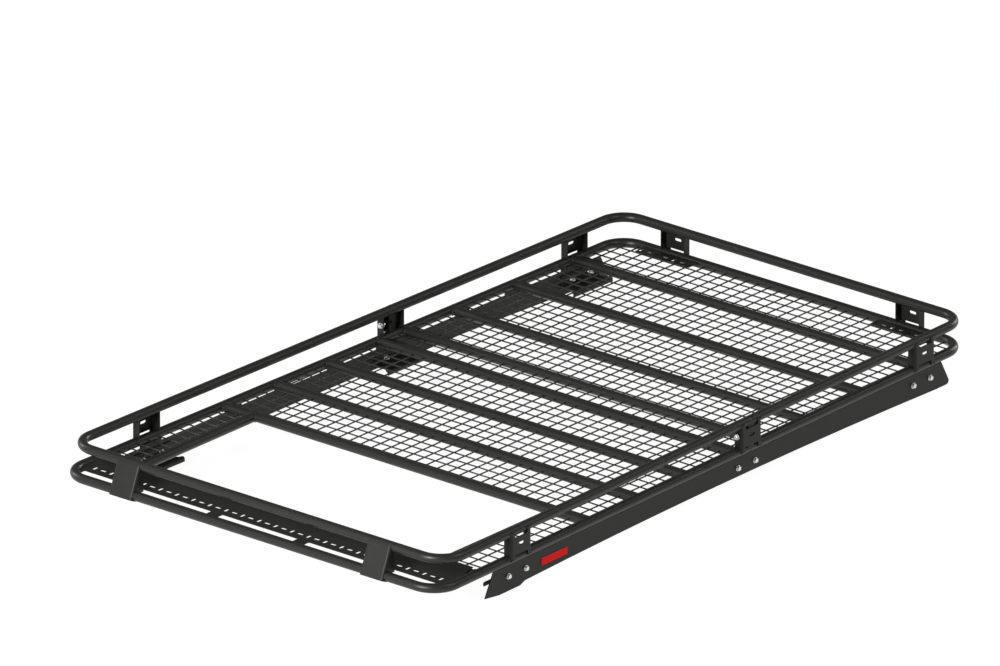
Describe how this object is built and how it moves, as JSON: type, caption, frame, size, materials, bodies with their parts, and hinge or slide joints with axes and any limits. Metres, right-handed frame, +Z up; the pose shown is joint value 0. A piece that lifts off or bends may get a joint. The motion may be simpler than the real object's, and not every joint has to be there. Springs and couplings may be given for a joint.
{
  "type": "roof rack",
  "caption": "Full-length black steel vehicle roof rack: raised tube rails, cross tubes with welded mesh, a sunroof opening and hanging side plates with feet.",
  "frame": {"origin": "on the ground under the middle of the rack's box", "axes": "+Z up, +Y along the rack towards its rear, +X to the right-hand side seen from behind the front rail looking rearwards in the picture's sense; the front faces -Y"},
  "size_m": [1.3884, 2.392, 0.189],
  "materials": {
    "black_tube": "satin black powder coat on bent steel tube",
    "black_plate": "satin black powder coat on laser-cut and folded steel sheet",
    "black_mesh": "satin black powder coat on welded steel wire",
    "zinc_steel": "bright zinc-plated fasteners",
    "red_plate": "plain red enamel on a thin plate"
  },
  "bodies": {
    "root": {"cross_tube_1": "black_tube", "cross_tube_2": "black_tube", "cross_tube_3": "black_tube", "cross_tube_4": "black_tube", "cross_tube_5": "black_tube", "cross_tube_6": "black_tube", "cross_tube_7": "black_tube", "cross_tube_8": "black_tube", "cross_tube_front": "black_tube", "cutout_tube_left": "black_tube", "cutout_tube_right": "black_tube", "foot_front_left": "black_plate", "foot_front_right": "black_plate", "foot_middle_left": "black_plate", "foot_middle_right": "black_plate", "foot_rear_left": "black_plate", "foot_rear_right": "black_plate", "front_bracket_left": "black_plate", "front_bracket_right": "black_plate", "front_light_plate": "black_plate", "lower_frame_front": "black_tube", "lower_frame_rear": "black_tube", "mesh_bay_1": "black_mesh", "mesh_bay_2": "black_mesh", "mesh_bay_3": "black_mesh", "mesh_bay_4": "black_mesh", "mesh_bay_5": "black_mesh", "mesh_bay_6": "black_mesh", "mesh_bay_7": "black_mesh", "mesh_bay_8": "black_mesh", "mesh_strip_left": "black_mesh", "mesh_strip_right": "black_mesh", "post_front_left": "black_plate", "post_front_right": "black_plate", "post_middle_left": "black_plate", "post_middle_right": "black_plate", "post_rear_left": "black_plate", "post_rear_right": "black_plate", "post_tail_left": "black_plate", "post_tail_right": "black_plate", "side_plate_left": "black_plate", "side_plate_right": "black_plate", "tie_plate_left": "black_plate", "tie_plate_right": "black_plate", "upper_rail_front": "black_tube", "upper_rail_rear": "black_tube"}
  },
  "joints": []
}
